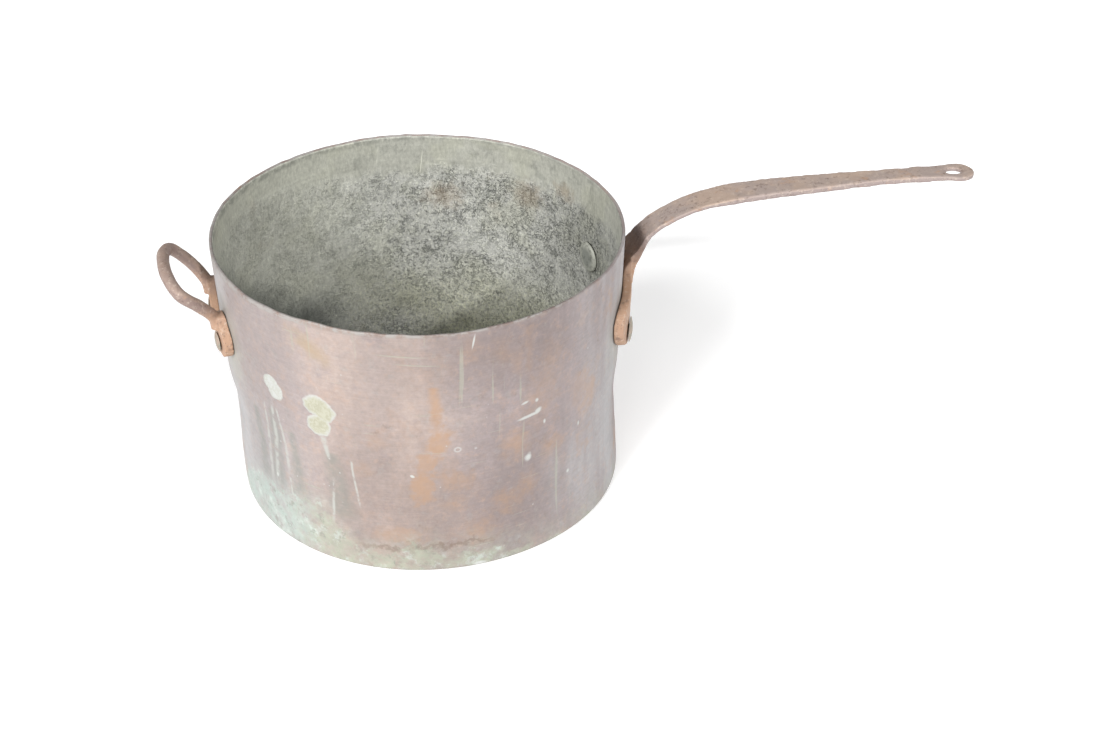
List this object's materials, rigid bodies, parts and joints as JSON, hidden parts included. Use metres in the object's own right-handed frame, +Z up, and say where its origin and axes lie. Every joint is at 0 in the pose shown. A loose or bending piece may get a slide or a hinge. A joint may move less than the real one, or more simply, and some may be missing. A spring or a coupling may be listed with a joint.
{
  "type": "saucepan",
  "caption": "Large deep straight-sided copper saucepan, tinned inside, with a long riveted iron strap handle and a riveted iron helper loop across from it.",
  "frame": {"origin": "middle of the flat base, on the surface the pan stands on", "axes": "+Z up through the open top; +X out through the middle of the main handle's foot; the helper handle is near -X"},
  "size_m": [0.6002, 0.3, 0.224],
  "materials": {
    "copper": "dull mauve-brown patina with bare patches and verdigris at the foot",
    "copper_base": "dark, sooted and worn",
    "tin": "old grey-green wiped tin, pitted and stained",
    "handle_iron": "forged, rust-brown and handled smooth",
    "helper_iron": "forged, rust-brown",
    "rivet": "dull grey-green copper"
  },
  "bodies": {
    "root": {"pan_wall": "copper", "pan_base": "copper_base", "tin_lining": "tin", "main_handle": "handle_iron", "helper_handle": "helper_iron", "main_rivet_near": "rivet", "main_rivet_far": "rivet", "helper_rivet_near": "rivet", "helper_rivet_far": "rivet"}
  },
  "joints": []
}
